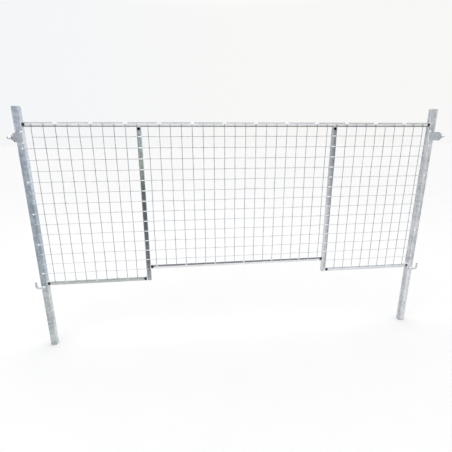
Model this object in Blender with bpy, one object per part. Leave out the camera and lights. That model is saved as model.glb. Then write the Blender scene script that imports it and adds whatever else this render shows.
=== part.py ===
"""Crowd control barrier: a galvanised panel of welded wire mesh on two long leg posts.

Metres, +Z up. The origin is under the middle of the span, level with the feet, on the centre plane
of the leg posts. +X runs along the panel and the mesh is on its -Y side. Everything is welded except
a nut and a washer on each coupling stud, which run along X.
"""

import math

import bmesh
import bpy
from mathutils import Matrix

# Driving dimensions.
GAP = 0.0003  # clearance between pieces that are welded together or rest on each other
PITCH = 0.050  # mesh aperture, wire centre to wire centre
COLUMNS = 38  # upright wires over the whole width
ROWS = 14  # cross wires in the side bays; the shorter middle bay has one less
TOP_ROW_Z = 1.0575  # height of the highest cross wire
WIRE = 0.003  # side of the square that stands for a round wire
WIRE_BITE = 0.0006  # how far the two layers of wire are fused into each other

POST_SIZE = 0.030
POST_WALL = 0.002
POST_HEIGHT = 1.186
POST_X = 0.982  # centre of each leg post

RAIL_SIZE = 0.020
RAIL_WALL = 0.0015
TOP_RAIL_Z = 1.1105  # centre heights of the rails
SIDE_RAIL_Z = 0.352
CENTRE_RAIL_Z = 0.4155
MID_POST_X = 0.4675

CORNER_SHARE = 0.12  # outer corner radius of a square tube, as a share of its side
CORNER_STEPS = 2

VENT_DIAMETER = 0.0120  # holes that let the zinc run in and out of the tubes
VENT_INSET = 0.0084  # from a tube's end to the hole's centre

WIRE_TOP_LAP = 0.003  # an upright wire ends this far above the top rail's centre
WIRE_BOTTOM_LAP = 0.006  # and this far below the upper face of the bottom rail
CROSS_WIRE_END_X = 0.9745  # cross wires end on the front faces of the leg posts
TOP_ROW_END_X = 0.929  # the highest one stops at the first upright, clear of the ear

EAR_THICKNESS = 0.006
EAR_RADIUS = 0.020
EAR_REACH = 0.0615  # from the leg post's front face to the stud
EAR_Z = 1.056

STUD_DIAMETER = 0.012
STUD_INNER_END = 0.0025  # length that shows on the inner side of the ear
COUPLING_GAP = 0.0075  # from the ear to the washer, room for the next barrier's ear
WASHER_DIAMETER = 0.020
WASHER_THICKNESS = 0.002
NUT_HEIGHT = 0.010
NUT_ACROSS_FLATS = 0.019
NUT_BORE_DIAMETER = 0.0125
STUD_TAIL = 0.0085  # length of stud beyond the nut

HOOK_DIAMETER = 0.0095
HOOK_X = 1.017  # centre of the upright limb
HOOK_RUN_Z = 0.3325
HOOK_TIP_Z = 0.3655
HOOK_BEND = 0.011  # bend radius at the bar's centre
HOOK_INNER_X = 0.9735  # where the bar starts on the leg post's front face
HOOK_BEND_STEPS = 8

ROUND_STEPS = 24

# Worked out from them.
FRONT_Y = -POST_SIZE / 2  # front faces of all tubes are flush here
RAIL_Y = FRONT_Y + RAIL_SIZE / 2
POST_INNER_X = POST_X - POST_SIZE / 2
EAR_OUTER_X = POST_INNER_X + EAR_THICKNESS
EAR_Y = FRONT_Y - EAR_REACH
WASHER_INNER_X = EAR_OUTER_X + COUPLING_GAP
NUT_INNER_X = WASHER_INNER_X + WASHER_THICKNESS + GAP
STUD_END_X = NUT_INNER_X + NUT_HEIGHT + STUD_TAIL
CROSS_WIRE_Y = FRONT_Y - GAP - WIRE / 2
UPRIGHT_WIRE_Y = CROSS_WIRE_Y - WIRE + WIRE_BITE

SIDES = {"left": -1, "right": 1}


def clear_scene():
    for obj in list(bpy.data.objects):
        bpy.data.objects.remove(obj)


def zinc(name, colour, roughness):
    """A galvanised finish of its own for one kind of piece."""
    material = bpy.data.materials.new(name)
    material.use_nodes = True
    shader = material.node_tree.nodes["Principled BSDF"]
    shader.inputs["Base Color"].default_value = (*colour, 1)
    shader.inputs["Metallic"].default_value = 0.9
    shader.inputs["Roughness"].default_value = roughness
    return material


def new_object(name, bm, material):
    mesh = bpy.data.meshes.new(name)
    bm.to_mesh(mesh)
    bm.free()
    obj = bpy.data.objects.new(name, mesh)
    bpy.context.scene.collection.objects.link(obj)
    if material:
        mesh.materials.append(material)
    return obj


def hide(obj):
    """Makes an object a guide or a cutter that is not part of the barrier."""
    obj.hide_render = True
    obj.display_type = "WIRE"
    return obj


def boolean(obj, other, operation):
    modifier = obj.modifiers.new(other.name, "BOOLEAN")
    modifier.object = other
    modifier.operation = operation
    modifier.solver = "EXACT"


def smooth(obj):
    obj.data.shade_smooth()
    obj.data.set_sharp_from_angle(angle=math.radians(35))


def rounded_square(size, radius):
    """Corner points of a square with rounded corners, anticlockwise."""
    points = []
    for corner in range(4):
        middle = math.radians(45 + 90 * corner)
        reach = (size / 2 - radius) * math.sqrt(2)
        for step in range(CORNER_STEPS + 1):
            angle = math.radians(90 * corner + 90 * step / CORNER_STEPS)
            points.append(
                (
                    reach * math.cos(middle) + radius * math.cos(angle),
                    reach * math.sin(middle) + radius * math.sin(angle),
                )
            )
    return points


def square_tube(name, size, wall, length, material):
    """A hollow square tube along its own Z, with its middle at its origin and both ends open."""
    outline = rounded_square(size, CORNER_SHARE * size)
    bore = rounded_square(size - 2 * wall, max(CORNER_SHARE * size - wall, wall / 3))
    bm = bmesh.new()
    rings = []
    for points in (outline, bore):
        for z in (-length / 2, length / 2):
            rings.append([bm.verts.new((x, y, z)) for x, y in points])
    outer_low, outer_high, inner_low, inner_high = rings
    bands = (
        (outer_low, outer_high),
        (inner_high, inner_low),
        (outer_high, inner_high),
        (inner_low, outer_low),
    )
    count = len(outline)
    for first, second in bands:
        for k in range(count):
            following = (k + 1) % count
            bm.faces.new((first[k], first[following], second[following], second[k]))
    tube = new_object(name, bm, material)
    smooth(tube)
    return tube


def upright_tube(name, size, wall, x, y, low, high, material):
    tube = square_tube(name, size, wall, high - low, material)
    tube.location = (x, y, (low + high) / 2)
    return tube


def level_tube(name, left, right, z, material):
    """A rail along X between two tubes, its front face flush with theirs."""
    tube = square_tube(name, RAIL_SIZE, RAIL_WALL, right - left, material)
    tube.rotation_euler = (0, math.pi / 2, 0)
    tube.location = ((left + right) / 2, RAIL_Y, z)
    return tube


def drill(obj, name, position, axis, diameter, depth):
    """Cuts a round hole, its cutter centred on position and reaching depth each way along axis."""
    bm = bmesh.new()
    turn = Matrix.Rotation(math.pi / 2, 4, "Y" if axis == "X" else "X")
    bmesh.ops.create_cone(
        bm,
        cap_ends=True,
        segments=ROUND_STEPS,
        radius1=diameter / 2,
        radius2=diameter / 2,
        depth=2 * depth,
        matrix=turn,
    )
    cutter = hide(new_object(name, bm, None))
    cutter.location = position
    boolean(obj, cutter, "DIFFERENCE")


def vent(tube, number, x, z):
    """A vent hole through the front wall of a rail or mid post."""
    drill(tube, f"{tube.name}_vent_{number}", (x, FRONT_Y, z), "Y", VENT_DIAMETER, 2 * RAIL_WALL)


def make_posts(material):
    """The two leg posts, one straight tube each from the foot to above the top rail."""
    for side, sign in SIDES.items():
        upright_tube(f"{side}_post", POST_SIZE, POST_WALL, sign * POST_X, 0, 0, POST_HEIGHT, material)


def make_rail(name, left, right, z, material):
    rail = level_tube(name, left + GAP, right - GAP, z, material)
    vent(rail, 1, left + VENT_INSET, z)
    vent(rail, 2, right - VENT_INSET, z)


def make_frame_tubes(material):
    """The top rail, the two mid posts and the three bottom rails of the stepped lower edge."""
    half = RAIL_SIZE / 2
    make_rail("top_rail", -POST_INNER_X, POST_INNER_X, TOP_RAIL_Z, material)
    make_rail("left_bottom_rail", -POST_INNER_X, -MID_POST_X - half, SIDE_RAIL_Z, material)
    make_rail("centre_bottom_rail", -MID_POST_X + half, MID_POST_X - half, CENTRE_RAIL_Z, material)
    make_rail("right_bottom_rail", MID_POST_X + half, POST_INNER_X, SIDE_RAIL_Z, material)
    low = SIDE_RAIL_Z - half
    high = TOP_RAIL_Z - half
    for side, sign in SIDES.items():
        name = f"{side}_mid_post"
        mid_post = upright_tube(
            name, RAIL_SIZE, RAIL_WALL, sign * MID_POST_X, RAIL_Y, low, high - GAP, material
        )
        vent(mid_post, 1, sign * MID_POST_X, high - VENT_INSET)


def bar(bm, low, high):
    """A rectangular bar between two opposite corners."""
    size = [b - a for a, b in zip(low, high)]
    middle = [(a + b) / 2 for a, b in zip(low, high)]
    matrix = Matrix.Translation(middle) @ Matrix.Diagonal((*size, 1))
    bmesh.ops.create_cube(bm, size=1, matrix=matrix)


def column_x(column):
    return (column - (COLUMNS - 1) / 2) * PITCH


def row_z(row):
    return TOP_ROW_Z - row * PITCH


def mesh_sheet(name, columns, rows, rail_z, row_span, material):
    """One bay of the welded mesh: upright wires fused to the front of the cross wires.

    row_span gives the two ends of a row's cross wire along X.
    """
    half = WIRE / 2
    cross = bmesh.new()
    for row in rows:
        left, right = row_span(row)
        z = row_z(row)
        bar(cross, (left, CROSS_WIRE_Y - half, z - half), (right, CROSS_WIRE_Y + half, z + half))
    uprights = bmesh.new()
    bottom = rail_z + RAIL_SIZE / 2 - WIRE_BOTTOM_LAP
    top = TOP_RAIL_Z + WIRE_TOP_LAP
    for column in columns:
        x = column_x(column)
        low = (x - half, UPRIGHT_WIRE_Y - half, bottom)
        bar(uprights, low, (x + half, UPRIGHT_WIRE_Y + half, top))
    sheet = new_object(name, cross, material)
    boolean(sheet, hide(new_object(f"{name}_uprights", uprights, material)), "UNION")


def side_row_span(sign):
    """Ends of a side bay's cross wires, from the leg post to the middle of the mid post."""

    def span(row):
        outer = sign * (CROSS_WIRE_END_X if row else TOP_ROW_END_X)
        inner = sign * (MID_POST_X + GAP / 2)
        return min(outer, inner), max(outer, inner)

    return span


def centre_row_span(row):
    return -MID_POST_X + GAP / 2, MID_POST_X - GAP / 2


def make_mesh(material):
    """The mesh, divided at the mid posts' centre lines into one sheet for each bay."""
    side_columns = sum(column_x(column) < -MID_POST_X for column in range(COLUMNS))
    left = range(side_columns)
    centre = range(side_columns, COLUMNS - side_columns)
    right = range(COLUMNS - side_columns, COLUMNS)
    mesh_sheet("left_mesh", left, range(ROWS), SIDE_RAIL_Z, side_row_span(-1), material)
    mesh_sheet("centre_mesh", centre, range(ROWS - 1), CENTRE_RAIL_Z, centre_row_span, material)
    mesh_sheet("right_mesh", right, range(ROWS), SIDE_RAIL_Z, side_row_span(1), material)


def ear_outline():
    """The ear in the YZ plane about its stud: square at the leg post, half round at the free end."""
    root = EAR_REACH - GAP
    points = [(root, -EAR_RADIUS), (root, EAR_RADIUS)]
    half_turn = ROUND_STEPS // 2
    for step in range(half_turn + 1):
        angle = math.pi / 2 + math.pi * step / half_turn
        points.append((EAR_RADIUS * math.cos(angle), EAR_RADIUS * math.sin(angle)))
    return points


def make_ear(side, sign, material):
    """A flat plate that stands forward from the leg post's inner edge and holds the stud."""
    bm = bmesh.new()
    face = bm.faces.new([bm.verts.new((-EAR_THICKNESS / 2, y, z)) for y, z in ear_outline()])
    extruded = bmesh.ops.extrude_face_region(bm, geom=[face])
    moved = [v for v in extruded["geom"] if isinstance(v, bmesh.types.BMVert)]
    bmesh.ops.translate(bm, verts=moved, vec=(EAR_THICKNESS, 0, 0))
    bmesh.ops.recalc_face_normals(bm, faces=bm.faces)
    ear = new_object(f"{side}_ear", bm, material)
    ear.location = (sign * (POST_INNER_X + EAR_THICKNESS / 2), EAR_Y, EAR_Z)
    smooth(ear)
    hole = STUD_DIAMETER + 2 * GAP
    drill(ear, f"{side}_ear_hole", ear.location, "X", hole, EAR_THICKNESS)


def turned(name, profile, sides, material):
    """A closed turned piece about X from (x, radius) points; sides gives each ring's facets."""
    bm = bmesh.new()
    rings = []
    for x, radius in profile:
        ring = []
        for k in range(sides):
            angle = 2 * math.pi * k / sides
            ring.append(bm.verts.new((x, radius * math.cos(angle), radius * math.sin(angle))))
        rings.append(ring)
    for first, second in zip(rings, rings[1:] + rings[:1]):
        for k in range(sides):
            following = (k + 1) % sides
            bm.faces.new((first[k], first[following], second[following], second[k]))
    bmesh.ops.recalc_face_normals(bm, faces=bm.faces)
    piece = new_object(name, bm, material)
    smooth(piece)
    return piece


def make_stud(side, sign, material):
    """The threaded stud, welded through the ear, with a chamfer at its free end."""
    radius = STUD_DIAMETER / 2
    chamfer = radius / 4
    inner = POST_INNER_X - STUD_INNER_END
    sections = (
        (inner, radius - chamfer),
        (inner + chamfer, radius),
        (STUD_END_X - chamfer, radius),
        (STUD_END_X, radius - chamfer),
    )
    bm = bmesh.new()
    rings = []
    for x, reach in sections:
        ring = bmesh.ops.create_circle(
            bm,
            segments=ROUND_STEPS,
            radius=reach,
            matrix=Matrix.Translation((x, 0, 0)) @ Matrix.Rotation(math.pi / 2, 4, "Y"),
        )
        rings.append(ring["verts"])
    for first, second in zip(rings, rings[1:]):
        for k in range(ROUND_STEPS):
            following = (k + 1) % ROUND_STEPS
            bm.faces.new((first[k], first[following], second[following], second[k]))
    bm.faces.new(rings[0])
    bm.faces.new(rings[-1])
    bmesh.ops.recalc_face_normals(bm, faces=bm.faces)
    stud = new_object(f"{side}_stud", bm, material)
    stud.location = (0, EAR_Y, EAR_Z)
    stud.rotation_euler = (0, 0, 0 if sign > 0 else math.pi)
    smooth(stud)


def stud_empty(side, sign, name, x):
    """An empty on the stud's axis, its own X pointing outwards, which carries a moving piece."""
    empty = bpy.data.objects.new(f"{side}_{name}_axis", None)
    bpy.context.scene.collection.objects.link(empty)
    empty.location = (sign * x, EAR_Y, EAR_Z)
    empty.rotation_euler = (0, 0, 0 if sign > 0 else math.pi)
    return empty


def make_washer(side, sign, material):
    bore = NUT_BORE_DIAMETER / 2
    rim = WASHER_DIAMETER / 2
    profile = ((0, bore), (0, rim), (WASHER_THICKNESS, rim), (WASHER_THICKNESS, bore))
    washer = turned(f"{side}_washer", profile, ROUND_STEPS, material)
    washer.parent = stud_empty(side, sign, "washer", WASHER_INNER_X)


def make_nut(side, sign, material):
    """A hexagon nut with a plain round bore that runs clear of the stud."""
    bm = bmesh.new()
    across_corners = NUT_ACROSS_FLATS / math.cos(math.pi / 6)
    bmesh.ops.create_cone(
        bm,
        cap_ends=True,
        segments=6,
        radius1=across_corners / 2,
        radius2=across_corners / 2,
        depth=NUT_HEIGHT,
        matrix=Matrix.Translation((NUT_HEIGHT / 2, 0, 0)) @ Matrix.Rotation(math.pi / 2, 4, "Y"),
    )
    nut = new_object(f"{side}_nut", bm, material)
    nut.parent = stud_empty(side, sign, "nut", NUT_INNER_X)
    middle = sign * (NUT_INNER_X + NUT_HEIGHT / 2)
    drill(nut, f"{side}_nut_bore", (middle, EAR_Y, EAR_Z), "X", NUT_BORE_DIAMETER, NUT_HEIGHT)


def hook_path(sign):
    """Centre line of a hook: a level run over the leg post, a quarter bend and an upright limb."""
    points = [(sign * HOOK_INNER_X, HOOK_RUN_Z)]
    for step in range(HOOK_BEND_STEPS + 1):
        angle = math.pi / 2 * step / HOOK_BEND_STEPS
        x = HOOK_X - HOOK_BEND + HOOK_BEND * math.sin(angle)
        z = HOOK_RUN_Z + HOOK_BEND - HOOK_BEND * math.cos(angle)
        points.append((sign * x, z))
    points.append((sign * HOOK_X, HOOK_TIP_Z))
    return points


def make_hook(side, sign, material):
    """A bent round bar welded across the leg post's front face."""
    curve = bpy.data.curves.new(f"{side}_hook", "CURVE")
    curve.dimensions = "3D"
    curve.bevel_depth = HOOK_DIAMETER / 2
    curve.bevel_resolution = 4
    curve.use_fill_caps = True
    path = hook_path(sign)
    spline = curve.splines.new("POLY")
    spline.points.add(len(path) - 1)
    y = FRONT_Y - GAP - HOOK_DIAMETER / 2
    for point, (x, z) in zip(spline.points, path):
        point.co = (x, y, z, 1)
    hook = bpy.data.objects.new(f"{side}_hook", curve)
    bpy.context.scene.collection.objects.link(hook)
    curve.materials.append(material)


def make_coupling(side, sign, plate_zinc, bolt_zinc):
    """Everything at one end that joins this barrier to the next one."""
    make_ear(side, sign, plate_zinc)
    make_stud(side, sign, bolt_zinc)
    make_washer(side, sign, bolt_zinc)
    make_nut(side, sign, bolt_zinc)
    make_hook(side, sign, plate_zinc)


def main():
    clear_scene()
    make_posts(zinc("post_zinc", (0.56, 0.60, 0.63), 0.42))
    make_frame_tubes(zinc("rail_zinc", (0.60, 0.62, 0.65), 0.36))
    make_mesh(zinc("wire_zinc", (0.66, 0.68, 0.71), 0.38))
    plate_zinc = zinc("plate_zinc", (0.58, 0.60, 0.61), 0.50)
    bolt_zinc = zinc("bolt_zinc", (0.70, 0.71, 0.73), 0.30)
    for side, sign in SIDES.items():
        make_coupling(side, sign, plate_zinc, bolt_zinc)


main()
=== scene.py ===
"""Looks of the crowd control barrier: round wires, welds, threads and galvanised surfaces.

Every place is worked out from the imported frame. Metres, +Z up, the mesh on the -Y side.
"""

import math
import random

import bmesh
import bpy
import numpy as np
from mathutils import Matrix, Vector, noise


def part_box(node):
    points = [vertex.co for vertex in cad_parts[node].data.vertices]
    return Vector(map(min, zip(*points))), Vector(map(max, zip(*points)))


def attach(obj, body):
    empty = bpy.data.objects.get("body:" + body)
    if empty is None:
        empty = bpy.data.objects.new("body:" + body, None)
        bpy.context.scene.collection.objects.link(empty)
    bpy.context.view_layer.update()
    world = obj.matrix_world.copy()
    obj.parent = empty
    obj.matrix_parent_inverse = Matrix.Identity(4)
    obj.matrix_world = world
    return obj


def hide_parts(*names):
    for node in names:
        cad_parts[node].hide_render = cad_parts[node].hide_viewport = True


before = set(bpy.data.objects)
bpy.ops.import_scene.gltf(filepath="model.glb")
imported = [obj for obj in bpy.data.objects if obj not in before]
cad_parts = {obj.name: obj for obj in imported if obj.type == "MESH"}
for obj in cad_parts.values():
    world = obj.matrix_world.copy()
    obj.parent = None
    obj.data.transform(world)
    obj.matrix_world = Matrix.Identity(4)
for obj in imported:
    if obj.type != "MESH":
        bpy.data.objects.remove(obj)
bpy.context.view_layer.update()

SEED = 7
SIDES = {"left": -1, "right": 1}

# Sizes that the solids' boxes don't give.
POST_WALL = 0.002
RAIL_WALL = 0.0015
CORNER_SHARE = 0.12  # outer corner radius of a tube, as a share of its side
CORNER_STEPS = 6
END_BEVEL = 0.0005
VENT_RADIUS = 0.006
VENT_INSET = 0.0081  # from a tube's own end to the vent's centre
WELD_GAP = 0.0003  # the clearance that the solids keep where pieces are welded

PITCH = 0.050
COLUMNS = 38
ROWS = 14
TOP_ROW_Z = 1.0575
WIRE_RADIUS = 0.00155
WIRE_SIDES = 10
WIRE_STEP = PITCH / 5
WIRE_WANDER = 0.0009
WIRE_TIP = 0.0004  # length over which a wire's cut end is rounded
TOP_ROW_TAIL = 0.004  # how far the top cross wire runs past its last upright

EAR_EDGE = 0.0006  # bevel along the ear's edges
STUD_RADIUS = 0.006
STUD_PLAIN = 0.010  # length of the stud's unthreaded inner end
THREAD_PITCH = 0.00175
THREAD_DEPTH = 0.0009
THREAD_SAMPLES = 7  # rings of points to each turn of the thread
STUD_CHAMFER = (0.0014, 0.0013)  # its length along the stud and its depth
NUT_CHAMFER = 0.0012
NUT_COUNTERSINK = 0.0006
HOOK_BEND = 0.011  # radius of the hook's bend, at the bar's middle

# Half sizes of lumps of weld metal. A weld is a heavy one, and a tack a light one.
SPOT_WELD = (0.0021, 0.0012, 0.0021)
TOP_WELD = (0.0120, 0.0034, 0.0056)
TOP_TACK = (0.0026, 0.0020, 0.0030)
SIDE_WELD = (0.0052, 0.0024, 0.0044)
BOTTOM_WELD = (0.0052, 0.0024, 0.0040)
BOTTOM_TACK = (0.0022, 0.0018, 0.0024)
EAR_WELD = (0.0048, 0.0026, 0.0052)
HOOK_WELD = (0.0085, 0.0042, 0.0052)

# Radii of weld beads. A crossing bead lies where a cross wire runs over a mid post; stretched across most
# of the post's width in the pale weld finish, it is partly a weld and partly a painted highlight of the
# wire.
JOINT_BEAD = 0.0014
EAR_BEAD = 0.0016
STUD_BEAD = 0.0010
HOOK_BEAD = 0.0019
CROSSING_BEAD_AND_HIGHLIGHT = 0.0027
CROSSING_REACH = 0.0115  # from the mid post's middle to the end of a crossing bead

CAMERA_PLACE = (-0.257, -1.5915, 1.069)
CAMERA_DOWN = 15.82  # degrees below level
CAMERA_RIGHT = 6.84  # degrees to the right of +Y
CAMERA_ROLL = 0.11  # degrees
CAMERA_LENS = 25.9

FRONT_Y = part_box("left_post")[0].y
TACK_Y = FRONT_Y - 0.0012  # middle of the welds on the leg posts and the bottom rails
BEAD_Y = FRONT_Y - 0.0014  # middle of the welds on the top rail and the mid posts
MID_POST_X = sum(corner.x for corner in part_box("right_mid_post")) / 2

# Painted reflections and shade: dark and light lines on the fronts of some tubes: (share of the rail's
# height or the post's width, tone).
PAINTED_REFLECTION_LINES = {
    "right_mid_post": [(0, 0.82), (0.22, 0.95), (0.36, 0.70), (0.56, 0.70), (0.70, 1.0), (1, 1.05)],
    "top_rail": [(0, 0.26), (0.16, 0.28), (0.28, 0.95), (0.78, 1.0), (0.86, 0.45), (0.97, 0.45), (1, 0.7)],
    "left_mid_post": [(0, 1.9), (0.16, 1.7), (0.32, 0.95), (1, 0.95)],
    "right_bottom_rail": [(0, 0.95), (0.62, 1.0), (0.80, 0.72), (0.94, 0.62), (1, 1.0)],
    "centre_bottom_rail": [(0, 0.95), (0.46, 1.0), (0.58, 0.22), (0.90, 0.22), (1, 0.8)],
    "left_bottom_rail": [(0, 0.95), (0.35, 1.0), (0.60, 0.78), (0.88, 0.74), (1, 1.0)],
}

# Painted reflections: colours that multiply a tube's zinc at places along it, in metres: up a post, along X
# on a rail.
# Painted reflection: the left bottom rail darker and greener than the right.
SIDE_RAIL_REFLECTION_TONES = [(-0.1, (0.70, 0.73, 0.70)), (0.1, (0.94, 0.95, 0.97))]
LENGTH_REFLECTION_TONES = {
    "left_post": [
        (0.0, (0.84, 0.87, 0.83)), (0.30, (0.82, 0.85, 0.81)), (0.37, (0.60, 0.66, 0.69)),
        (0.60, (0.58, 0.65, 0.70)), (0.85, (0.66, 0.73, 0.79)), (1.02, (0.86, 0.90, 0.97)),
        (1.19, (0.92, 0.95, 1.0)),
    ],
    "left_mid_post": [
        (0.33, (0.62, 0.66, 0.66)), (0.42, (0.20, 0.215, 0.23)), (0.80, (0.19, 0.225, 0.235)),
        (0.88, (0.44, 0.52, 0.44)), (0.98, (0.56, 0.66, 0.58)), (1.04, (0.72, 0.80, 0.84)),
        (1.12, (0.80, 0.86, 0.90)),
    ],
    "right_mid_post": [
        (0.33, (0.98, 0.98, 1.0)), (0.60, (0.94, 0.95, 0.97)), (0.85, (0.78, 0.80, 0.82)),
        (1.00, (0.62, 0.64, 0.67)), (1.12, (0.66, 0.68, 0.71)),
    ],
    "left_bottom_rail": SIDE_RAIL_REFLECTION_TONES,
    "right_bottom_rail": SIDE_RAIL_REFLECTION_TONES,
    "top_rail": [
        (-1.0, (0.98, 1.0, 1.0)), (0.25, (1.0, 1.0, 1.0)), (0.55, (0.86, 0.86, 0.86)),
        (1.0, (0.88, 0.88, 0.87)),
    ],
}
PAINTED_EDGE_RAMP = (0.0008, 0.0026)  # where a leg post's painted edge highlight and shade change, measured from its inner edge
GRAIN = {0: (0.07, 1.6, 1.6), 2: (1.6, 1.6, 0.07)}  # scale of the runs in the zinc, by a tube's axis
VENT_SHADE_REACH = 0.0112  # how far the painted shade round a vent hole reaches from its centre

# Zinc of the thinner tubes, each copy painted lighter and darker for its reflections, the mid posts dark
# and the top rail near white: darkest colour, lightest colour, roughness, relief.
RAIL_ZINC_AND_PAINTED_REFLECTIONS = {
    "left_mid_post": ((0.42, 0.45, 0.48), (0.90, 0.91, 0.92), 0.24, 0.2),
    "right_mid_post": ((0.60, 0.62, 0.65), (0.88, 0.89, 0.90), 0.26, 0.15),
    "left_bottom_rail": ((0.62, 0.64, 0.66), (0.84, 0.85, 0.87), 0.28, 0.25),
    "right_bottom_rail": ((0.62, 0.64, 0.66), (0.84, 0.85, 0.87), 0.28, 0.25),
    "centre_bottom_rail": ((0.72, 0.73, 0.76), (0.90, 0.91, 0.93), 0.26, 0.2),
    "top_rail": ((0.90, 0.91, 0.94), (0.99, 0.99, 1.0), 0.30, 0.08),
}


# Meshes -------------------------------------------------------------------------------------


def piece(name, verts, faces, material, body, slot, replaces=(), sharp=35):
    """A smooth shaded object that rides on a CAD body and stands for CAD nodes."""
    mesh = bpy.data.meshes.new(name)
    mesh.from_pydata([tuple(v) for v in verts], [], faces)
    mesh.update()
    obj = bpy.data.objects.new(name, mesh)
    bpy.context.scene.collection.objects.link(obj)
    mesh.materials.append(material)
    mesh.shade_smooth()
    mesh.set_sharp_from_angle(angle=math.radians(sharp))
    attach(obj, body)
    if replaces:
        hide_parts(*replaces)
    return obj


def ring_faces(rings, sides, closed=False):
    """Faces between rings of points that follow one another, and from the last to the first if closed."""
    faces = []
    for k in range(rings if closed else rings - 1):
        low, high = k * sides, (k + 1) % rings * sides
        for s in range(sides):
            following = (s + 1) % sides
            faces.append((low + s, low + following, high + following, high + s))
    return faces


def sweep(centres, radii, sides, closed=False):
    """Vertices and faces of a round bar through the centres, its section turned along the path."""
    centres = [Vector(c) for c in centres]
    count = len(centres)
    verts = []
    normal = None
    for k, centre in enumerate(centres):
        if closed:
            along = centres[(k + 1) % count] - centres[k - 1]
        else:
            along = centres[min(k + 1, count - 1)] - centres[max(k - 1, 0)]
        along.normalize()
        if normal is None:
            normal = along.cross(Vector((0, 1, 0)))
            if normal.length < 0.1:
                normal = along.cross(Vector((1, 0, 0)))
        normal = (normal - along * normal.dot(along)).normalized()
        other = along.cross(normal)
        for s in range(sides):
            angle = 2 * math.pi * s / sides
            offset = normal * math.cos(angle) + other * math.sin(angle)
            verts.append(centre + offset * radii[k])
    faces = ring_faces(count, sides, closed)
    if not closed:
        faces.append(tuple(reversed(range(sides))))
        faces.append(tuple(range((count - 1) * sides, count * sides)))
    return verts, faces


def merged(parts):
    """Several (vertices, faces) pairs as one."""
    verts, faces = [], []
    for part_verts, part_faces in parts:
        base = len(verts)
        verts.extend(part_verts)
        faces.extend(tuple(base + index for index in face) for face in part_faces)
    return verts, faces


def unit_sphere(levels):
    bm = bmesh.new()
    bmesh.ops.create_icosphere(bm, subdivisions=levels, radius=1)
    verts = [v.co.copy() for v in bm.verts]
    faces = [tuple(v.index for v in face.verts) for face in bm.faces]
    bm.free()
    return verts, faces


BALLS = {levels: unit_sphere(levels) for levels in (1, 2, 3)}


def blob(centre, size, levels=2, lump=0.18):
    """A lump of weld metal: a ball of the given half sizes with a noisy skin."""
    centre = Vector(centre)
    verts = []
    for v in BALLS[levels][0]:
        swell = 1 + lump * noise.noise(v * 1.7 + centre * 300)
        verts.append(centre + Vector((v.x * size[0], v.y * size[1], v.z * size[2])) * swell)
    return verts, BALLS[levels][1]


def bead(path, radius, closed=False, ripple=0.0022):
    """A weld bead: a bar through close points whose thickness ripples along it."""
    length = 0
    radii = []
    previous = Vector(path[0])
    for point in path:
        length += (Vector(point) - previous).length
        previous = Vector(point)
        wave = abs(math.sin(math.pi * length / ripple))
        radii.append(radius * (0.82 + 0.2 * wave + 0.16 * noise.noise(previous * 160)))
    return sweep(path, radii, 8, closed=closed)


def rounded_square(half_a, half_b, radius):
    """Corner points of a rectangle with rounded corners, anticlockwise."""
    points = []
    for corner, (sa, sb) in enumerate(((1, 1), (-1, 1), (-1, -1), (1, -1))):
        for step in range(CORNER_STEPS + 1):
            angle = math.pi / 2 * (corner + step / CORNER_STEPS)
            a = sa * (half_a - radius) + radius * math.cos(angle)
            b = sb * (half_b - radius) + radius * math.sin(angle)
            points.append((a, b))
    return points


def applied(obj):
    """Bakes an object's modifiers into its mesh."""
    graph = bpy.context.evaluated_depsgraph_get()
    mesh = bpy.data.meshes.new_from_object(obj.evaluated_get(graph))
    obj.modifiers.clear()
    obj.data = mesh


def drill(obj, centres, radius, depth, axis):
    """Cuts round holes through an object's wall and applies them."""
    cutters = []
    turn = Matrix.Rotation(math.pi / 2, 4, "X" if axis == "Y" else "Y")
    for centre in centres:
        bm = bmesh.new()
        place = Matrix.Translation(centre) @ turn
        bmesh.ops.create_cone(
            bm, cap_ends=True, segments=36, radius1=radius, radius2=radius, depth=2 * depth, matrix=place
        )
        mesh = bpy.data.meshes.new("cutter")
        bm.to_mesh(mesh)
        bm.free()
        cutter = bpy.data.objects.new("cutter", mesh)
        bpy.context.scene.collection.objects.link(cutter)
        modifier = obj.modifiers.new("hole", "BOOLEAN")
        modifier.object = cutter
        modifier.operation = "DIFFERENCE"
        cutters.append(cutter)
    bpy.context.view_layer.update()
    applied(obj)
    for cutter in cutters:
        bpy.data.objects.remove(cutter)
    obj.data.set_sharp_from_angle(angle=math.radians(35))


# Materials ----------------------------------------------------------------------------------


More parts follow.
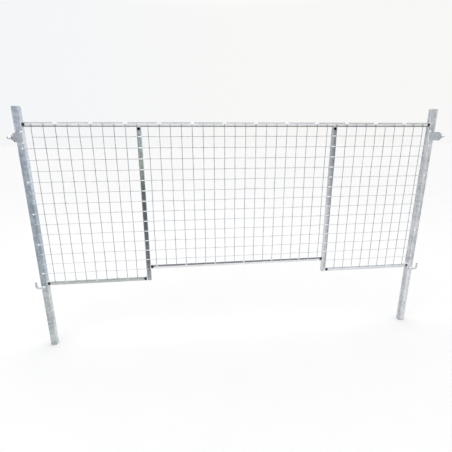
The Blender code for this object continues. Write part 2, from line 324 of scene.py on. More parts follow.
class Nodes:
    """A material's node tree with short calls for the nodes that these finishes use."""

    def __init__(self, name):
        self.material = bpy.data.materials.new(name)
        self.material.use_nodes = True
        self.tree = self.material.node_tree
        self.shader = self.tree.nodes["Principled BSDF"]
        self.place = self.add("ShaderNodeTexCoord").outputs["Object"]

    def add(self, kind, **settings):
        node = self.tree.nodes.new(kind)
        for key, value in settings.items():
            setattr(node, key, value)
        return node

    def feed(self, socket, value):
        if isinstance(value, bpy.types.NodeSocket):
            self.tree.links.new(value, socket)
        else:
            socket.default_value = value

    def math(self, operation, a, b=0.0, clamp=False):
        node = self.add("ShaderNodeMath", operation=operation, use_clamp=clamp)
        self.feed(node.inputs[0], a)
        self.feed(node.inputs[1], b)
        return node.outputs[0]

    def stretched(self, scale):
        node = self.add("ShaderNodeMapping")
        self.feed(node.inputs["Vector"], self.place)
        node.inputs["Scale"].default_value = scale
        return node.outputs[0]

    def noise(self, scale, detail=3.0, vector=None):
        node = self.add("ShaderNodeTexNoise")
        self.feed(node.inputs["Vector"], vector or self.place)
        node.inputs["Scale"].default_value = scale
        node.inputs["Detail"].default_value = detail
        return node.outputs["Fac"]

    def crystals(self, scale):
        """A different grey for each zinc crystal."""
        node = self.add("ShaderNodeTexVoronoi")
        self.feed(node.inputs["Vector"], self.place)
        node.inputs["Scale"].default_value = scale
        split = self.add("ShaderNodeSeparateColor")
        self.feed(split.inputs[0], node.outputs["Color"])
        return split.outputs[0]

    def ranged(self, value, low, high, to_low=0.0, to_high=1.0):
        node = self.add("ShaderNodeMapRange", clamp=True)
        for socket, given in zip(node.inputs, (value, low, high, to_low, to_high)):
            self.feed(socket, given)
        return node.outputs[0]

    def mix(self, share, a, b):
        node = self.add("ShaderNodeMix", data_type="RGBA")
        self.feed(node.inputs["Factor"], share)
        self.feed(node.inputs["A"], a if isinstance(a, bpy.types.NodeSocket) else (*a, 1))
        self.feed(node.inputs["B"], b if isinstance(b, bpy.types.NodeSocket) else (*b, 1))
        return node.outputs["Result"]

    def multiplied(self, colour, by):
        node = self.add("ShaderNodeMix", data_type="RGBA", blend_type="MULTIPLY")
        node.inputs["Factor"].default_value = 1.0
        self.feed(node.inputs["A"], colour)
        self.feed(node.inputs["B"], by)
        return node.outputs["Result"]

    def ramp(self, axis, stops):
        """A colour that changes along an object axis, from (metres, colour) stops."""
        split = self.add("ShaderNodeSeparateXYZ")
        self.feed(split.inputs[0], self.place)
        first, last = stops[0][0], stops[-1][0]
        node = self.add("ShaderNodeValToRGB")
        self.feed(node.inputs[0], self.ranged(split.outputs[axis], first, last))
        elements = node.color_ramp.elements
        while len(elements) < len(stops):
            elements.new(0.5)
        for element, (at, colour) in zip(elements, stops):
            element.position = (at - first) / (last - first)
            element.color = (*colour, 1)
        return node.outputs["Color"]

    def up_facing(self):
        """1 on a face that looks up, -1 on one that looks down."""
        split = self.add("ShaderNodeSeparateXYZ")
        self.feed(split.inputs[0], self.add("ShaderNodeNewGeometry").outputs["Normal"])
        return split.outputs["Z"]

    def bump(self, height, distance, strength=1.0):
        node = self.add("ShaderNodeBump")
        node.inputs["Strength"].default_value = strength
        node.inputs["Distance"].default_value = distance
        self.feed(node.inputs["Height"], height)
        self.feed(self.shader.inputs["Normal"], node.outputs[0])

    def near(self, point, reach):
        """1 at a point, falling to 0 at the given reach along each axis."""
        node = self.add("ShaderNodeVectorMath", operation="SUBTRACT")
        self.feed(node.inputs[0], self.place)
        node.inputs[1].default_value = point
        divided = self.add("ShaderNodeVectorMath", operation="DIVIDE")
        self.feed(divided.inputs[0], node.outputs[0])
        divided.inputs[1].default_value = reach
        length = self.add("ShaderNodeVectorMath", operation="LENGTH")
        self.feed(length.inputs[0], divided.outputs[0])
        return self.ranged(length.outputs["Value"], 1.0, 0.3)


def galvanised(
    name, dark, light, rough, grain=(1, 1, 1), tones=(), bloom=0.5, relief=1.0, rust=(), shaded_vents=()
):
    """Hot-dip zinc: crystals, runs along the grain, chalky bloom, painted light on top, painted shade below
    and a few rust spots.

    grain scales the runs, so a small value on an axis draws them out along it. tones lists
    (axis, stops) pairs, where the stops are (metres along it, colour) and multiply the colour.
    rust lists (point, reach) pairs; the last argument lists the points of holes, which get a near-black rim
    of painted shade.
    """
    n = Nodes(name)
    crystal = n.crystals(90)
    mottle = n.noise(9, 4)
    runs = n.noise(38, 3, n.stretched(grain))
    tone = n.math("ADD", n.math("MULTIPLY", crystal, 0.17), n.math("MULTIPLY", mottle, 0.5))
    tone = n.math("ADD", tone, n.math("MULTIPLY", runs, 0.64))
    colour = n.mix(n.ranged(tone, 0.44, 0.86), dark, light)
    for axis, stops in tones:
        colour = n.multiplied(colour, n.ramp(axis, stops))
    chalk_and_top_light = n.ranged(n.noise(26, 5), 0.50, 0.76, 0.0, bloom)
    facing = n.up_facing()
    # Painted light: faces that look up are mixed towards the pale chalk colour.
    lit_top_faces = n.ranged(facing, 0.75, 0.97, 0.0, 0.8)
    chalk_and_top_light = n.math("MAXIMUM", chalk_and_top_light, lit_top_faces)
    colour = n.mix(chalk_and_top_light, colour, (0.86, 0.88, 0.90))
    # Painted shade: faces that look down are darkened.
    colour = n.mix(n.ranged(facing, -0.15, -0.8, 0.0, 0.7), colour, (0.20, 0.205, 0.20))
    pits = n.ranged(n.noise(240, 2), 0.30, 0.22)
    colour = n.mix(n.math("MULTIPLY", pits, 0.5 * relief), colour, (0.16, 0.17, 0.18))
    shine = n.ranged(crystal, 0, 1, rough - 0.07, rough + 0.07)
    roughness = n.math("ADD", shine, n.math("MULTIPLY", chalk_and_top_light, 0.3))
    metallic = n.ranged(chalk_and_top_light, 0.0, 1.0, 0.94, 0.35)
    # Painted shade: near black round each vent hole, widening the hole's dark.
    for point in shaded_vents:
        vent_shade = n.near(point, (VENT_SHADE_REACH, VENT_SHADE_REACH, VENT_SHADE_REACH))
        colour = n.mix(vent_shade, colour, (0.03, 0.03, 0.03))
        metallic = n.math("SUBTRACT", metallic, vent_shade, clamp=True)
    for point, reach in rust:
        spot = n.math("MULTIPLY", n.near(point, reach), n.ranged(n.noise(330, 4), 0.40, 0.62))
        colour = n.mix(spot, colour, (0.23, 0.10, 0.035))
        metallic = n.math("SUBTRACT", metallic, spot, clamp=True)
        roughness = n.math("MAXIMUM", roughness, n.math("MULTIPLY", spot, 0.85))
    n.feed(n.shader.inputs["Base Color"], colour)
    n.feed(n.shader.inputs["Roughness"], roughness)
    n.feed(n.shader.inputs["Metallic"], metallic)
    skin = n.math("ADD", n.math("MULTIPLY", n.noise(70, 3), 0.7), n.math("MULTIPLY", n.noise(420, 2), 0.1))
    n.bump(n.math("ADD", skin, n.math("MULTIPLY", crystal, 0.05)), 0.0010 * relief, 0.55)
    return n.material


def plated(name):
    """Bright zinc plating on turned and threaded pieces, with fine turning marks and handling marks."""
    n = Nodes(name)
    marks = n.noise(60, 2, n.stretched((60, 1, 1)))
    scuffs = n.ranged(n.noise(120, 4), 0.55, 0.7)
    colour = n.mix(marks, (0.50, 0.51, 0.53), (0.74, 0.75, 0.76))
    colour = n.mix(n.math("MULTIPLY", scuffs, 0.5), colour, (0.36, 0.35, 0.33))
    n.feed(n.shader.inputs["Base Color"], colour)
    n.shader.inputs["Metallic"].default_value = 1.0
    n.feed(n.shader.inputs["Roughness"], n.ranged(n.math("ADD", marks, scuffs), 0.2, 1.6, 0.22, 0.5))
    n.bump(marks, 0.0003, 0.5)
    return n.material


def bore_painted_shade(name):
    """The inside of a tube in near black: painted shade for the dark bore."""
    n = Nodes(name)
    colour = n.mix(n.noise(45, 4), (0.004, 0.004, 0.004), (0.024, 0.024, 0.025))
    n.feed(n.shader.inputs["Base Color"], colour)
    n.shader.inputs["Roughness"].default_value = 0.85
    n.shader.inputs["Specular IOR Level"].default_value = 0.15
    n.bump(n.noise(150, 3), 0.0006)
    return n.material


def weld_zinc_and_highlight(name):
    """Zinc over weld metal: brighter than the tubes, partly the weld's own pale zinc and partly a painted
    highlight, lumpy, with dark pinholes.
    """
    n = Nodes(name)
    lumps = n.noise(260, 4)
    colour = n.mix(n.ranged(lumps, 0.3, 0.7), (0.80, 0.81, 0.83), (0.97, 0.97, 0.98))
    pinholes = n.ranged(n.noise(700, 2), 0.28, 0.2)
    colour = n.mix(n.math("MULTIPLY", pinholes, 0.8), colour, (0.12, 0.12, 0.12))
    n.feed(n.shader.inputs["Base Color"], colour)
    n.shader.inputs["Metallic"].default_value = 0.35
    n.feed(n.shader.inputs["Roughness"], n.ranged(lumps, 0.2, 0.8, 0.20, 0.45))
    n.bump(lumps, 0.0009, 0.8)
    return n.material


def floor_finish():
    """Plain pale studio floor, a little greyer in front where the studio's light falls away."""
    n = Nodes("studio_floor_paint")
    split = n.add("ShaderNodeSeparateXYZ")
    n.feed(split.inputs[0], n.place)
    near = n.ranged(split.outputs["Y"], -3.2, -0.75)
    near.node.interpolation_type = "SMOOTHSTEP"
    pale = n.mix(n.noise(3, 3), (0.81, 0.81, 0.805), (0.83, 0.83, 0.825))
    n.feed(n.shader.inputs["Base Color"], n.mix(near, (0.66, 0.665, 0.665), pale))
    n.shader.inputs["Roughness"].default_value = 0.9
    n.shader.inputs["Specular IOR Level"].default_value = 0.1
    return n.material


# The barrier --------------------------------------------------------------------------------


def vent_centres(node):
    """The vent holes' centres on a tube's front: both ends of a rail, and the top of a mid post."""
    low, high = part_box(node)
    middle = (low + high) / 2
    if "rail" in node:
        return [Vector((x, low.y, middle.z)) for x in (low.x + VENT_INSET, high.x - VENT_INSET)]
    return [Vector((middle.x, low.y, high.z - VENT_INSET))]


def tube(node, axis, wall, material, bore_shade_material, slot, vents=()):
    """A square tube with rounded corners, softened ends, a real bore and its vent holes."""
    low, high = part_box(node)
    middle = (low + high) / 2
    half = (high - low) / 2
    length = half[axis]
    across = [i for i in range(3) if i != axis]
    half_a, half_b = half[across[0]], half[across[1]]
    radius = CORNER_SHARE * 2 * half_a

    def ring(inset, at):
        grown = rounded_square(half_a - inset, half_b - inset, max(radius - inset, wall / 3))
        verts = []
        for a, b in grown:
            point = Vector(middle)
            point[across[0]] += a
            point[across[1]] += b
            point[axis] += at
            verts.append(point)
        return verts

    soft = END_BEVEL
    outside = [(soft * 0.7, -length), (0, soft - length), (0, length - soft), (soft * 0.7, length)]
    inside = [(wall, length), (wall, -length)]
    rings = [ring(inset, at) for inset, at in outside + inside]
    count = len(rings[0])
    faces = ring_faces(len(rings), count, closed=True)
    verts = [v for r in rings for v in r]
    obj = piece(f"{node}_tube", verts, faces, material, "panel", slot, [node])
    obj.data.materials.append(bore_shade_material)
    for face in obj.data.polygons[-2 * count : -count]:
        face.material_index = 1
    fix_outward(obj)
    if vents:
        drill(obj, vents, VENT_RADIUS, 2 * wall, "Y")
    weighted = obj.modifiers.new("flat_faces", "WEIGHTED_NORMAL")
    weighted.keep_sharp = True
    weighted.weight = 100
    return obj


def fix_outward(obj):
    bm = bmesh.new()
    bm.from_mesh(obj.data)
    bmesh.ops.recalc_face_normals(bm, faces=bm.faces)
    bm.to_mesh(obj.data)
    bm.free()


def tube_reflection_tones(node):
    """A tube's painted reflections as (axis, stops) pairs: tones along its length, and dark and light lines
    across it.
    """
    axis = 0 if "rail" in node else 2
    across = 2 - axis
    tones = []
    if node in LENGTH_REFLECTION_TONES:
        tones.append((axis, LENGTH_REFLECTION_TONES[node]))
    if node in PAINTED_REFLECTION_LINES:
        low, high = (corner[across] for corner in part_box(node))
        stops = [(low + share * (high - low), (tone, tone, tone)) for share, tone in PAINTED_REFLECTION_LINES[node]]
        tones.append((across, stops))
    return tones


def make_leg_posts(bore):
    """The leg posts: the left has a painted highlight along its inner edge and two rust spots, the right a
    painted shade along its inner edge.
    """
    near, far = PAINTED_EDGE_RAMP
    inner_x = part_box("left_post")[1].x
    highlight_edge = (0, [(inner_x - far, (0.86, 0.87, 0.88)), (inner_x - near, (1.08, 1.08, 1.07))])
    rust = [
        ((inner_x - 0.003, FRONT_Y, 0.889), (0.007, 0.010, 0.009)),
        ((inner_x, FRONT_Y + 0.006, 0.172), (0.004, 0.008, 0.030)),
    ]
    left_zinc = galvanised(
        "left_post_zinc", (0.38, 0.42, 0.47), (0.86, 0.87, 0.89), 0.32, GRAIN[2],
        [*tube_reflection_tones("left_post"), highlight_edge], 0.2, rust=rust,
    )
    shade_edge = (0, [(near - inner_x, (0.80, 0.81, 0.83)), (far - inner_x, (1.0, 1.0, 1.0))])
    right_zinc = galvanised(
        "right_post_zinc", (0.38, 0.40, 0.42), (0.78, 0.79, 0.81), 0.34, GRAIN[2], [shade_edge], 0.3
    )
    tube("left_post", 2, POST_WALL, left_zinc, bore, "post_zinc")
    tube("right_post", 2, POST_WALL, right_zinc, bore, "post_zinc")


def make_tubes():
    """The two leg posts, two mid posts and four rails."""
    # Painted shade: the bores are near black.
    bore = bore_painted_shade("bore_painted_shade")
    make_leg_posts(bore)
    for node, (dark, light, rough, relief) in RAIL_ZINC_AND_PAINTED_REFLECTIONS.items():
        axis = 0 if "rail" in node else 2
        vents = vent_centres(node)
        zinc = galvanised(
            f"{node}_zinc", dark, light, rough, GRAIN[axis], tube_reflection_tones(node), 0.15, relief, shaded_vents=vents
        )
        tube(node, axis, RAIL_WALL, zinc, bore, "rail_zinc", vents)


def wander(seed, amount):
    """A smooth small sideways drift along a wire, as a function of the distance along it."""
    rng = random.Random(SEED * 1000 + seed)
    waves = [(rng.uniform(0.2, 1), rng.uniform(6, 40), rng.uniform(0, 2 * math.pi)) for _ in range(4)]
    total = sum(weight for weight, _, _ in waves)

    def offset(at):
        return amount * sum(w * math.sin(rate * at + phase) for w, rate, phase in waves) / total

    return offset


def wire(start, end, axis, seed):
    """One round wire with a slight wander and softened cut ends."""
    length = end[axis] - start[axis]
    steps = max(2, round(length / WIRE_STEP))
    sideways = wander(seed, WIRE_WANDER)
    in_and_out = wander(seed + 500, WIRE_WANDER / 2)
    tip = WIRE_TIP / length
    stations = [0, tip, *(k / steps for k in range(1, steps)), 1 - tip, 1]
    centres = []
    for share in stations:
        point = Vector(start)
        point[axis] += length * share
        point[2 - axis] += sideways(point[axis])
        point.y += in_and_out(point[axis])
        centres.append(point)
    radii = [WIRE_RADIUS] * len(stations)
    radii[0] = radii[-1] = WIRE_RADIUS * 0.8
    return sweep(centres, radii, WIRE_SIDES)


def column_x(column):
    return (column - (COLUMNS - 1) / 2) * PITCH


def row_z(row):
    return TOP_ROW_Z - row * PITCH


def make_mesh_sheet(side, columns, rows, materials, weld_material):
    """One bay of round wires and the spot welds where they cross, in the same place as its solid.

    materials are the finishes of the upright wires and of the cross wires.
    """
    node = f"{side}_mesh"
    low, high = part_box(node)
    cross_y = high.y - WIRE_RADIUS
    upright_y = low.y + WIRE_RADIUS
    parts = []
    welds = []
    for column in columns:
        x = column_x(column)
        parts.append(wire((x, upright_y, low.z), (x, upright_y, high.z), 2, column))
    upright_faces = sum(len(faces) for _, faces in parts)
    for row in rows:
        left, right = low.x, high.x
        if side == "left":
            right = -MID_POST_X
            left = column_x(columns[0]) - TOP_ROW_TAIL if row == 0 else left
        elif side == "right":
            left = MID_POST_X
            right = column_x(columns[-1]) + TOP_ROW_TAIL if row == 0 else right
        else:
            left, right = -MID_POST_X, MID_POST_X
        z = row_z(row)
        parts.append(wire((left, cross_y, z), (right, cross_y, z), 0, 100 + row))
        for column in columns:
            x = column_x(column) + wander(column, WIRE_WANDER)(z)
            weld_z = z + wander(100 + row, WIRE_WANDER)(x)
            weld_y = (upright_y + cross_y) / 2
            welds.append(blob((x, weld_y, weld_z), SPOT_WELD, 1, 0.25))
    wires = piece(f"{side}_mesh_wires", *merged(parts), materials[0], "panel", "wire_zinc", [node])
    wires.data.materials.append(materials[1])
    for face in wires.data.polygons[upright_faces:]:
        face.material_index = 1
    piece(f"{side}_mesh_spot_welds", *merged(welds), weld_material, "panel", "wire_zinc")


def make_mesh(weld_material):
    """The three bays of mesh: uprights painted darker than cross wires for the reflections they catch, and
    the centre bay a row shorter.
    """
    # Painted reflection: the same steel, the uprights darker and the cross wires lighter.
    upright = galvanised(
        "upright_wire_zinc", (0.26, 0.28, 0.33), (0.46, 0.48, 0.53), 0.4, bloom=0.35, relief=0.25
    )
    cross = galvanised(
        "cross_wire_zinc", (0.50, 0.51, 0.55), (0.68, 0.69, 0.73), 0.4, bloom=0.5, relief=0.25
    )
    side_columns = sum(column_x(column) < -MID_POST_X for column in range(COLUMNS))
    bays = {
        "left": (range(side_columns), range(ROWS)),
        "centre": (range(side_columns, COLUMNS - side_columns), range(ROWS - 1)),
        "right": (range(COLUMNS - side_columns, COLUMNS), range(ROWS)),
    }
    for side, (columns, rows) in bays.items():
        make_mesh_sheet(side, list(columns), rows, (upright, cross), weld_material)


def make_wire_welds(material):
    """Tacks that hold the wires to the tubes, heavy ones at every third wire."""
    top_low, top_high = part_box("top_rail")
    parts = []
    for column in range(COLUMNS):
        heavy = column % 3 == 2
        z = (top_low.z + top_high.z) / 2 + (0.004 if heavy else -0.001)
        parts.append(blob((column_x(column), BEAD_Y, z), TOP_WELD if heavy else TOP_TACK))
    for side, sign in SIDES.items():
        edge = abs(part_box(f"{side}_mesh")[0 if sign < 0 else 1].x)
        for row in range(1, ROWS):
            if row % 3 == 1:
                centre = (sign * (edge + 0.001), TACK_Y, row_z(row))
                parts.append(blob(centre, SIDE_WELD))
        # Partly painted highlight: pale beads across the mid posts, where the cross wires catch the light.
        for row in range(ROWS - 1):
            line = [
                (sign * MID_POST_X + share * CROSSING_REACH, BEAD_Y, row_z(row) + 0.0003)
                for share in np.linspace(-1, 1, 24)
            ]
            parts.append(bead(line, CROSSING_BEAD_AND_HIGHLIGHT))
    for name in ("left_bottom_rail", "centre_bottom_rail", "right_bottom_rail"):
        low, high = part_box(name)
        for column in range(COLUMNS):
            if low.x < column_x(column) < high.x:
                size = BOTTOM_WELD if column % 3 == 1 else BOTTOM_TACK
                parts.append(blob((column_x(column), TACK_Y, high.z - 0.004), size))
    piece("wire_to_frame_welds", *merged(parts), material, "panel", "rail_zinc")


def loop_round(middle, half_a, half_b, axis, radius, step=0.0007):
    """Close points round a rounded rectangle across the given axis."""
    across = [i for i in range(3) if i != axis]
    corners = rounded_square(half_a, half_b, radius)
    points = []
    for (a0, b0), (a1, b1) in zip(corners, corners[1:] + corners[:1]):
        distance = math.hypot(a1 - a0, b1 - b0)
        for k in range(max(1, round(distance / step))):
            share = k / max(1, round(distance / step))
            point = Vector(middle)
            point[across[0]] += a0 + (a1 - a0) * share
            point[across[1]] += b0 + (b1 - b0) * share
            points.append(point)
    return points


def make_joint_welds(material):
    """A rippled fillet all round each end of the rails and the mid posts' upper ends."""
    ends = []
    for node in ("top_rail", "centre_bottom_rail", "left_bottom_rail", "right_bottom_rail"):
        ends += [(node, 0, 0), (node, 0, 1)]
    ends += [("left_mid_post", 2, 1), ("right_mid_post", 2, 1)]
    parts = []
    for node, axis, which in ends:
        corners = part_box(node)
        middle = (corners[0] + corners[1]) / 2
        half = (corners[1] - corners[0]) / 2
        middle[axis] = corners[which][axis]
        across = [i for i in range(3) if i != axis]
        size = half[across[0]]
        path = loop_round(middle, size - 0.0004, size - 0.0004, axis, 2 * CORNER_SHARE * size)
        parts.append(bead(path, JOINT_BEAD, closed=True))
    piece("tube_joint_welds", *merged(parts), material, "panel", "rail_zinc")


def make_ear(side, sign, plate_material, weld_material):
    """The ear plate with rounded edges, its welds to the post and the stud's weld."""
    node = f"{side}_ear"
    low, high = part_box(node)
    radius = (high.z - low.z) / 2
    centre = Vector(((low.x + high.x) / 2, low.y + radius, (low.z + high.z) / 2))
    thickness = high.x - low.x
    root = high.y - centre.y
    outline = [(root, -radius), (root, radius)]
    steps = 40
    for step in range(steps + 1):
        angle = math.pi / 2 + math.pi * step / steps
        outline.append((radius * math.cos(angle), radius * math.sin(angle)))
    bm = bmesh.new()
    face = bm.faces.new([bm.verts.new((-thickness / 2, y, z)) for y, z in outline])
    extruded = bmesh.ops.extrude_face_region(bm, geom=[face])
    moved = [v for v in extruded["geom"] if isinstance(v, bmesh.types.BMVert)]
    bmesh.ops.translate(bm, verts=moved, vec=(thickness, 0, 0))
    bmesh.ops.recalc_face_normals(bm, faces=bm.faces)
    rim = [e for e in bm.edges if len(e.link_faces) == 2 and e.calc_face_angle() > 1]
    bmesh.ops.bevel(bm, geom=rim, offset=EAR_EDGE, segments=2, affect="EDGES")
    verts = [v.co + centre for v in bm.verts]
    bm.verts.index_update()
    faces = [tuple(v.index for v in f.verts) for f in bm.faces]
    bm.free()
    ear = piece(node + "_plate", verts, faces, plate_material, "panel", "plate_zinc", [node])
    drill(ear, [centre], STUD_RADIUS + WELD_GAP, thickness, "X")
    parts = []
    for face_x in (low.x, high.x):
        line = [(face_x, high.y - 0.0006, z) for z in np.arange(low.z + 0.001, high.z - 0.001, 0.0006)]
        parts.append(bead(line, EAR_BEAD))
    for z, lift in ((high.z, 0.0030), (low.z, -0.0030)):
        parts.append(blob((centre.x, high.y - 0.0012, z + lift), EAR_WELD, 3))
    inner_x = low.x if sign > 0 else high.x
    piece(f"{side}_ear_welds", *merged(parts), weld_material, "panel", "plate_zinc")
    ring = []
    for k in range(60):
        angle = 2 * math.pi * k / 60
        reach = STUD_RADIUS + WELD_GAP
        ring.append((inner_x, centre.y + reach * math.cos(angle), centre.z + reach * math.sin(angle)))
    piece(f"{side}_stud_weld", *bead(ring, STUD_BEAD, closed=True), plate_material, "panel", "plate_zinc")


def ring_about_x(centre, x, radii, turn=1):
    """Points round a line along X through the centre, one for each radius, at x from the centre."""
    points = []
    for k, radius in enumerate(radii):
        angle = 2 * math.pi * k / len(radii)
        points.append(centre + Vector((x, radius * math.cos(angle), turn * radius * math.sin(angle))))
    return points


def inner_centre(node, sign):
    """The middle of the face of a solid's box that looks towards the barrier's middle."""
    low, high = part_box(node)
    return Vector((low.x if sign > 0 else high.x, (low.y + high.y) / 2, (low.z + high.z) / 2))


def make_stud(side, sign, material, plate_material):
    """A threaded stud with a chamfered free end and a domed inner end dipped with the ear."""
    node = f"{side}_stud"
    low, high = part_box(node)
    length = high.x - low.x
    centre = inner_centre(node, sign)
    sides = 32
    dome = [(0.0, 0.45), (0.0005, 0.8), (0.0016, 0.97), (STUD_PLAIN, 0.97)]
    verts = []
    for x, share in dome:
        verts += ring_about_x(centre, sign * x, [STUD_RADIUS * share] * sides, sign)
    chamfer_length, chamfer_depth = STUD_CHAMFER
    rings = round((length - STUD_PLAIN) / THREAD_PITCH * THREAD_SAMPLES)
    for ring in range(1, rings + 1):
        x = STUD_PLAIN + (length - STUD_PLAIN) * ring / rings
        fade = min(1.0, (ring / THREAD_SAMPLES) ** 0.8)
        cone = max(0.0, 1 - (length - x) / chamfer_length)
        radii = []
        for k in range(sides):
            phase = (x / THREAD_PITCH - k / sides) % 1
            tooth = 1 - abs(2 * phase - 1)
            radius = STUD_RADIUS - fade * THREAD_DEPTH * (1 - min(1, tooth * 1.15))
            radii.append(min(radius, STUD_RADIUS - chamfer_depth * cone))
        verts += ring_about_x(centre, sign * x, radii, sign)
    count = len(dome) + rings
    faces = ring_faces(count, sides)
    faces.append(tuple(range(sides)))
    faces.append(tuple(range((count - 1) * sides, count * sides)))
    obj = piece(f"{node}_thread", verts, faces, material, "panel", "bolt_zinc", [node], sharp=50)
    obj.data.materials.append(plate_material)
    for face in obj.data.polygons:
        if abs(face.center.x - centre.x) < STUD_PLAIN / 2:
            face.material_index = 1
    fix_outward(obj)


def make_washer(side, sign, material):
    """A flat ring with softened edges."""
    node = f"{side}_washer"
    low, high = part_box(node)
    thickness = high.x - low.x
    rim = (high.z - low.z) / 2
    bore = STUD_RADIUS + WELD_GAP
    soft = 0.0003
    sides = 48
    profile = [
        (0, bore + soft), (0, rim - soft), (soft, rim), (thickness - soft, rim), (thickness, rim - soft),
        (thickness, bore + soft), (thickness - soft, bore), (soft, bore),
    ]
    centre = inner_centre(node, sign)
    verts = []
    for x, radius in profile:
        verts += ring_about_x(centre, sign * x, [radius] * sides)
    faces = ring_faces(len(profile), sides, closed=True)
    obj = piece(f"{node}_ring", verts, faces, material, f"{side}_washer", "bolt_zinc", [node])
    fix_outward(obj)


def make_nut(side, sign, material):
    """A hexagon nut: its corners are cut by a cone at both ends, and its bore is countersunk."""
    node = f"{side}_nut"
    low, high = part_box(node)
    centre = inner_centre(node, sign)
    height = high.x - low.x
    flats = (high.z - low.z) / 2
    face_edge = flats * 0.96
    corner = flats / math.cos(math.pi / 6)
    bore = STUD_RADIUS + WELD_GAP
    sides = 72
    stations = [0, NUT_CHAMFER * 0.5, NUT_CHAMFER, height - NUT_CHAMFER, height - NUT_CHAMFER * 0.5, height]
    verts = []
    for x in stations:
        from_end = min(x, height - x)
        cap = face_edge + (corner - face_edge) * min(1, from_end / NUT_CHAMFER)
        radii = []
        for k in range(sides):
            from_flat = 2 * math.pi * k / sides % (math.pi / 3) - math.pi / 6
            radii.append(min(flats / math.cos(from_flat), cap))
        verts += ring_about_x(centre, sign * x, radii)
    sink = NUT_COUNTERSINK
    inside = [(height, bore + sink), (height - sink, bore), (sink, bore), (0, bore + sink)]
    for x, radius in inside:
        verts += ring_about_x(centre, sign * x, [radius] * sides)
    faces = ring_faces(len(stations) + len(inside), sides, closed=True)
    obj = piece(f"{node}_hexagon", verts, faces, material, f"{side}_nut", "bolt_zinc", [node], sharp=25)
    fix_outward(obj)


def make_hook(side, sign, material, weld_material):
    """A bent round bar with a sheared tip, and the weld that holds it to the leg post."""
    node = f"{side}_hook"
    low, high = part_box(node)
    radius = (high.y - low.y) / 2
    y = (low.y + high.y) / 2
    inner = low.x if sign > 0 else high.x
    limb_x = (high.x - radius) if sign > 0 else (low.x + radius)
    run_z = low.z + radius
    path = [(inner, y, run_z), (inner + sign * 0.0008, y, run_z)]
    radii = [radius * 0.9, radius]
    turn_x = limb_x - sign * HOOK_BEND
    for x in np.linspace(inner + sign * 0.004, turn_x, 6)[:-1]:
        path.append((x, y, run_z))
        radii.append(radius)
    for step in range(17):
        angle = math.pi / 2 * step / 16
        rise = HOOK_BEND * (1 - math.cos(angle))
        path.append((turn_x + sign * HOOK_BEND * math.sin(angle), y, run_z + rise))
        radii.append(radius)
    for z in np.linspace(run_z + HOOK_BEND, high.z - 0.0007, 5)[1:]:
        path.append((limb_x, y, z))
        radii.append(radius)
    path.append((limb_x, y, high.z))
    radii.append(radius * 0.86)
    piece(f"{node}_bar", *sweep(path, radii, 20), material, "panel", "plate_zinc", [node])
    post_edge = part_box(f"{side}_post")[1 if sign > 0 else 0].x
    lump = (inner + sign * 0.008, FRONT_Y - 0.0030, run_z + 0.0035)
    parts = [blob(lump, HOOK_WELD, 3, 0.25)]
    for lift in (-1, 1):
        line = [
            (x, FRONT_Y - 0.0010, run_z + lift * (radius * 0.72))
            for x in np.linspace(inner + sign * 0.001, post_edge - sign * 0.003, 34)
        ]
        parts.append(bead(line, HOOK_BEAD))
    piece(f"{node}_weld", *merged(parts), weld_material, "panel", "plate_zinc")


def make_couplings(weld_material):
    """On each leg post: the ear with its stud, washer and nut, and the hook."""
    # Painted reflection: the left ear darker and cooler than the right.
    tones = (0, [(-0.5, (0.80, 0.83, 0.88)), (0.5, (1.0, 1.0, 1.0))])
    plate = galvanised(
        "plate_zinc", (0.38, 0.40, 0.43), (0.56, 0.58, 0.61), 0.45, tones=[tones], bloom=0.15, relief=0.3
    )
    hook_zinc = galvanised("hook_zinc", (0.40, 0.42, 0.45), (0.66, 0.68, 0.71), 0.34, bloom=0.3, relief=0.5)
    bolt = plated("bolt_plating")
    for side, sign in SIDES.items():
        make_ear(side, sign, plate, weld_material)
        make_stud(side, sign, bolt, plate)
        make_washer(side, sign, bolt)
        make_nut(side, sign, bolt)
        make_hook(side, sign, hook_zinc, weld_material)


# The studio ---------------------------------------------------------------------------------


def make_floor():
    size = 30
    corners = [(-size, -size, 0), (size, -size, 0), (size, size, 0), (-size, size, 0)]
    mesh = bpy.data.meshes.new("studio_floor")
    mesh.from_pydata(corners, [], [(0, 1, 2, 3)])
    floor = bpy.data.objects.new("studio_floor", mesh)
    bpy.context.scene.collection.objects.link(floor)
    mesh.materials.append(floor_finish())


def area_light(name, place, target, size, power):
    light = bpy.data.lights.new(name, "AREA")
    light.shape = "RECTANGLE"
    light.size, light.size_y = size
    light.energy = power
    obj = bpy.data.objects.new(name, light)
    bpy.context.scene.collection.objects.link(obj)
    obj.location = place
    obj.rotation_euler = (Vector(target) - Vector(place)).to_track_quat("-Z", "Y").to_euler()


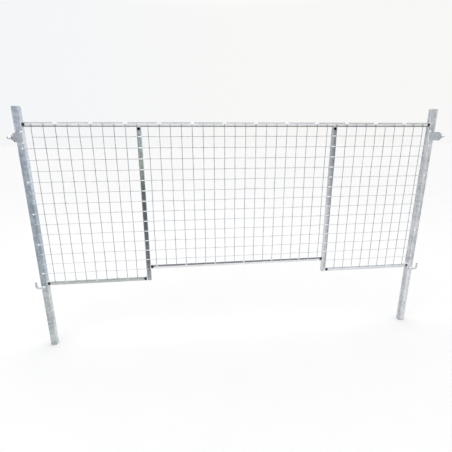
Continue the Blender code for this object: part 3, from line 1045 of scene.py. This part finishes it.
def make_sky():
    """A soft white studio, dim straight overhead, slightly cool on the left and warm on the right."""
    world = bpy.data.worlds.new("studio")
    bpy.context.scene.world = world
    world.use_nodes = True
    tree = world.node_tree
    background = tree.nodes["Background"]
    place = tree.nodes.new("ShaderNodeTexCoord")
    split = tree.nodes.new("ShaderNodeSeparateXYZ")
    tree.links.new(place.outputs["Generated"], split.inputs[0])

    def ranged(socket, low, high, to_low, to_high):
        node = tree.nodes.new("ShaderNodeMapRange")
        node.interpolation_type = "SMOOTHSTEP"
        tree.links.new(socket, node.inputs["Value"])
        for key, value in zip(("From Min", "From Max", "To Min", "To Max"), (low, high, to_low, to_high)):
            node.inputs[key].default_value = value
        return node.outputs[0]

    def added(first, second):
        node = tree.nodes.new("ShaderNodeMath")
        tree.links.new(first, node.inputs[0])
        tree.links.new(second, node.inputs[1])
        return node.outputs[0]

    back = ranged(split.outputs["Y"], -0.3, 0.3, 0.76, 0.94)
    above = ranged(split.outputs["Z"], 0.30, 0.50, 0.0, 0.85)
    overhead = ranged(split.outputs["Z"], 0.76, 0.88, 0.0, -1.2)
    tree.links.new(added(added(back, above), overhead), background.inputs["Strength"])
    tint = tree.nodes.new("ShaderNodeMix")
    tint.data_type = "RGBA"
    tree.links.new(ranged(split.outputs["X"], -0.6, 0.3, 0.0, 1.0), tint.inputs["Factor"])
    tint.inputs["A"].default_value = (0.965, 0.98, 1.0, 1)
    tint.inputs["B"].default_value = (1.0, 0.995, 0.985, 1)
    tree.links.new(tint.outputs["Result"], background.inputs["Color"])


def make_camera():
    """Low and close with a wide lens, a little left of the middle, tilted down and turned right."""
    camera = bpy.data.cameras.new("camera")
    camera.lens = CAMERA_LENS
    camera.sensor_width = 36
    camera.clip_end = 100
    obj = bpy.data.objects.new("camera", camera)
    bpy.context.scene.collection.objects.link(obj)
    obj.location = CAMERA_PLACE
    turn = (90 - CAMERA_DOWN, CAMERA_ROLL, -CAMERA_RIGHT)
    obj.rotation_euler = [math.radians(angle) for angle in turn]
    bpy.context.scene.camera = obj


def main():
    make_camera()
    make_sky()
    make_floor()
    area_light("key", (-2.0, -2.2, 3.6), (0, 0, 0.6), (2.4, 1.6), 13)
    area_light("top", (0.3, 0.8, 3.8), (0, 0, 0.6), (3.0, 1.4), 10)
    weld_material = weld_zinc_and_highlight("weld_zinc_and_highlight")
    make_tubes()
    make_mesh(weld_material)
    make_wire_welds(weld_material)
    make_joint_welds(weld_material)
    make_couplings(weld_material)
    bpy.context.scene.view_settings.view_transform = "Standard"


main()
